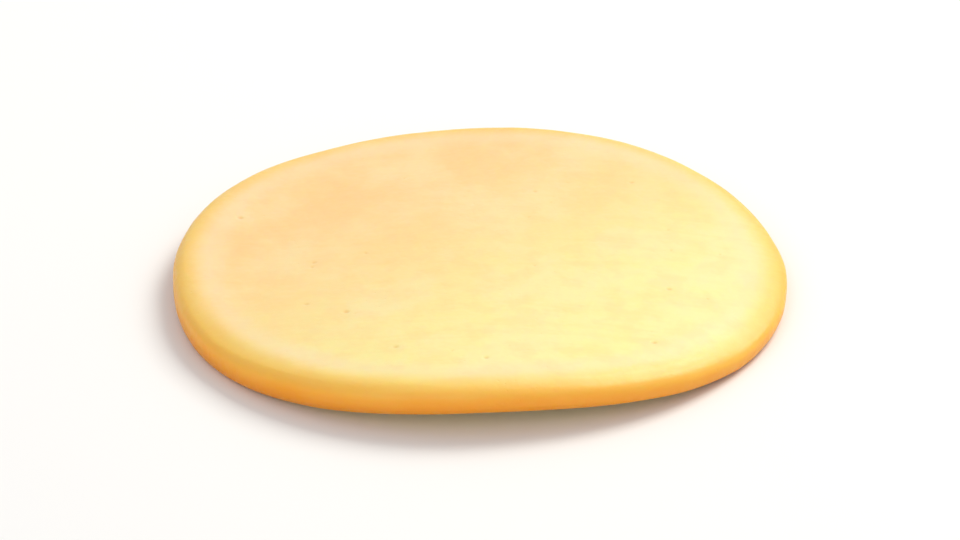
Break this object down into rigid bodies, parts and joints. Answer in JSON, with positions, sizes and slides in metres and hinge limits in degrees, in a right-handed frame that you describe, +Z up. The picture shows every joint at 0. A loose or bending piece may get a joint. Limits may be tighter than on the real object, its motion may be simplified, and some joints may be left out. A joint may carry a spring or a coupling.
{
  "type": "round cheese slice",
  "caption": "Round slice of pale yellow semi-hard cheese, with a soft rounded rim, straight on one half and gently drooping on the other.",
  "frame": {"origin": "on the surface that the slice lies on, under the middle of the slice's box", "axes": "+Z up, through the thickness of the slice; +X towards the side that droops, which is the longest way across; +Y across it"},
  "size_m": [0.107, 0.1054, 0.0095],
  "materials": {
    "cheese": "satin"
  },
  "bodies": {
    "root": {"cheese_slice": "cheese"}
  },
  "joints": []
}
